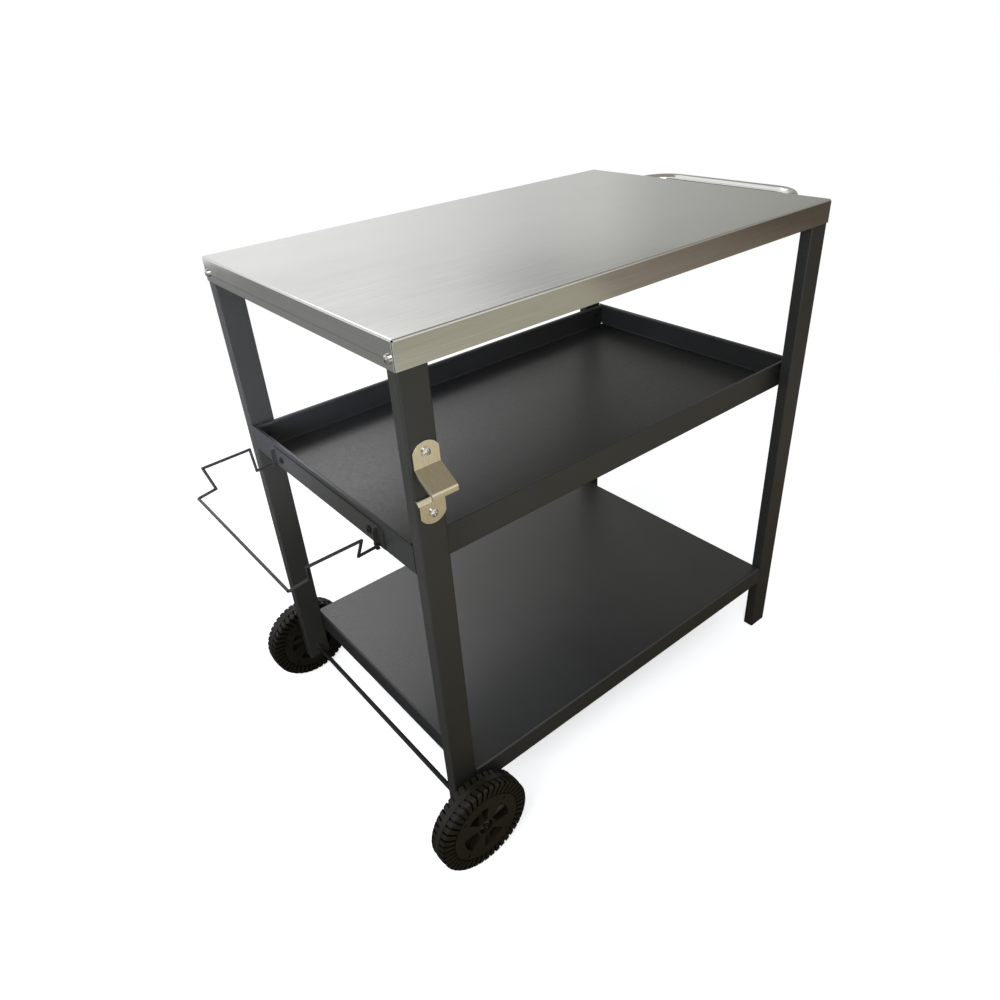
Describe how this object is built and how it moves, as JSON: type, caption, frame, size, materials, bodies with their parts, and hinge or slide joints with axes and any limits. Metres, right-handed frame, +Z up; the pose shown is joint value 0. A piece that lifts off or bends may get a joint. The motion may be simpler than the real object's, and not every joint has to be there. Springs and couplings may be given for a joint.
{
  "type": "grill prep cart",
  "caption": "Rolling side table for a grill: steel work top, tray, lower shelf, tube legs, two treaded wheels, pull handle, bottle opener and a hinged ring for a bin bag.",
  "frame": {"origin": "on the floor under the middle of the whole cart, bag ring and handle included", "axes": "+X towards the handle end, -X towards the wheel end, -Y the front with the bottle opener, +Z up"},
  "size_m": [1.027, 0.5924, 0.84],
  "materials": {
    "top_steel": "brushed with the grain along the length, satin",
    "frame_coat": "charcoal powder coat, satin, fine orange peel",
    "sheet_coat": "charcoal powder coat, satin, fine orange peel",
    "black_plastic": "matt moulded",
    "hub_plastic": "satin moulded",
    "tread_plastic": "matt moulded tread",
    "axle_steel": "bright zinc plate",
    "bright_fasteners": "bright plated",
    "dark_fasteners": "black oxide, satin",
    "handle_chrome": "polished tube",
    "opener_steel": "champagne coat, satin",
    "ring_wire": "black coated wire, semi-gloss"
  },
  "bodies": {
    "cart": {"top_panel": "top_steel", "skirt_screws": "bright_fasteners", "leg_front_left": "frame_coat", "leg_back_left": "frame_coat", "leg_front_right": "frame_coat", "leg_back_right": "frame_coat", "foot_plugs": "black_plastic", "leg_end_caps": "black_plastic", "tray_pan": "sheet_coat", "tray_spacers": "bright_fasteners", "tray_inserts": "bright_fasteners", "tray_bolts": "dark_fasteners", "lower_shelf": "sheet_coat", "shelf_inserts": "bright_fasteners", "shelf_bolts": "dark_fasteners", "axle_rod": "dark_fasteners", "axle_collars": "axle_steel", "axle_spacers": "axle_steel", "hub_washers": "axle_steel", "split_pins": "axle_steel", "handle_rail": "frame_coat", "handle_tube": "handle_chrome", "handle_flanges": "handle_chrome", "handle_plugs": "axle_steel", "handle_bolts": "bright_fasteners", "opener_hood": "opener_steel", "opener_catch": "opener_steel", "opener_screws": "bright_fasteners", "bag_bracket": "frame_coat", "bag_screws": "dark_fasteners", "bag_nuts": "bright_fasteners"},
    "wheel_front": {"wheel_hub_front": "hub_plastic", "tyre_front": "tread_plastic"},
    "wheel_back": {"wheel_hub_back": "hub_plastic", "tyre_back": "tread_plastic"},
    "ring": {"bag_ring": "ring_wire"}
  },
  "joints": [
    {"name": "wheel_front_spin", "type": "hinge", "parent": "cart", "child": "wheel_front", "pos_m": [-0.3605, -0.27925, 0.08], "axis": [0, 1, 0], "continuous": true},
    {"name": "wheel_back_spin", "type": "hinge", "parent": "cart", "child": "wheel_back", "pos_m": [-0.3605, 0.27925, 0.08], "axis": [0, 1, 0], "continuous": true},
    {"name": "bag_ring_lift", "type": "hinge", "parent": "cart", "child": "ring", "pos_m": [-0.3854, 0, 0.5391], "axis": [0, 1, 0], "range_deg": [0, 45]}
  ]
}
